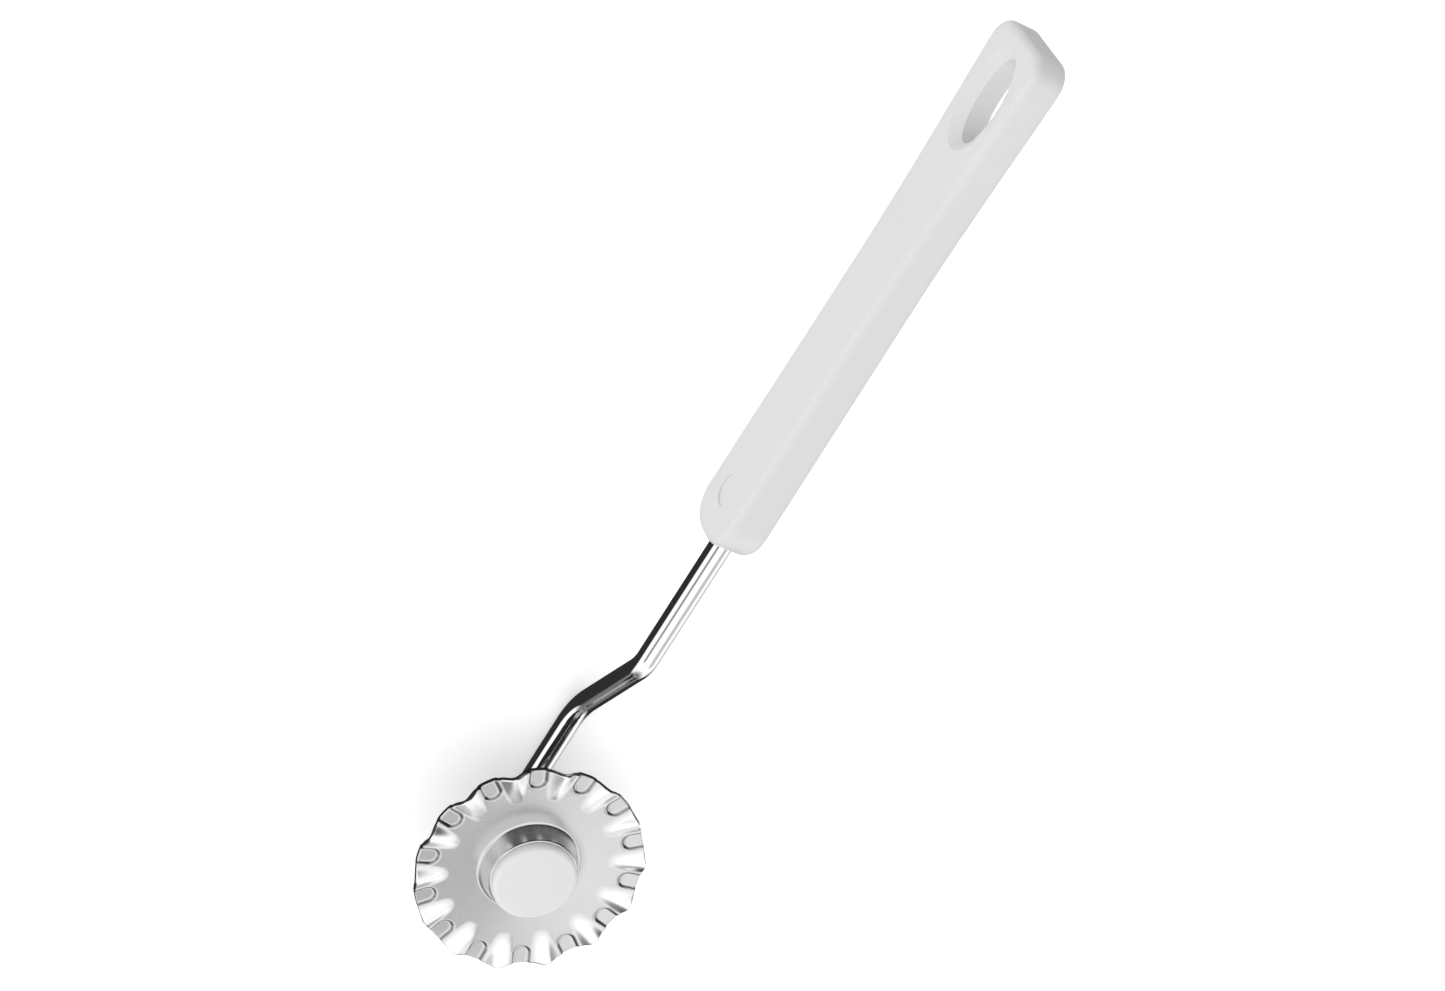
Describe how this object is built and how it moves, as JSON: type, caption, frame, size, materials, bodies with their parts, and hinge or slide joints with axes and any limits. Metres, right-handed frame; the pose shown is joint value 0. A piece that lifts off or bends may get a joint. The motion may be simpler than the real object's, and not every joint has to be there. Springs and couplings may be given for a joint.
{
  "type": "tracing wheel",
  "caption": "Fluted disc that spins freely on the bent end of a cranked wire shank, with a flat plastic handle and an oval hanging eye.",
  "frame": {"origin": "middle of the tool's footprint, at the height of the lowest wire, with the tool lying on its back", "axes": "+X along the tool from the hanging end to the wheel, +Z along the axle towards the capped side, -Y out of the handle's thumb face"},
  "size_m": [0.1868, 0.04, 0.023],
  "materials": {
    "handle_plastic": "satin moulded",
    "wire_chrome": "bright plated",
    "disc_chrome": "bright plated",
    "bush_plastic": "moulded",
    "cap_plastic": "satin gloss",
    "nut_steel": "plain spring steel",
    "washer_steel": "plain steel"
  },
  "bodies": {
    "tool": {"handle": "handle_plastic", "shank": "wire_chrome", "push_nut": "nut_steel", "front_washer": "washer_steel", "back_washer": "washer_steel"},
    "wheel": {"wheel_disc": "disc_chrome", "hub_bush": "bush_plastic", "hub_cap": "cap_plastic"}
  },
  "joints": [
    {"name": "wheel_spin", "type": "hinge", "parent": "tool", "child": "wheel", "pos_m": [0.0734, 0, 0.0173], "axis": [0, 0, 1], "continuous": true}
  ]
}
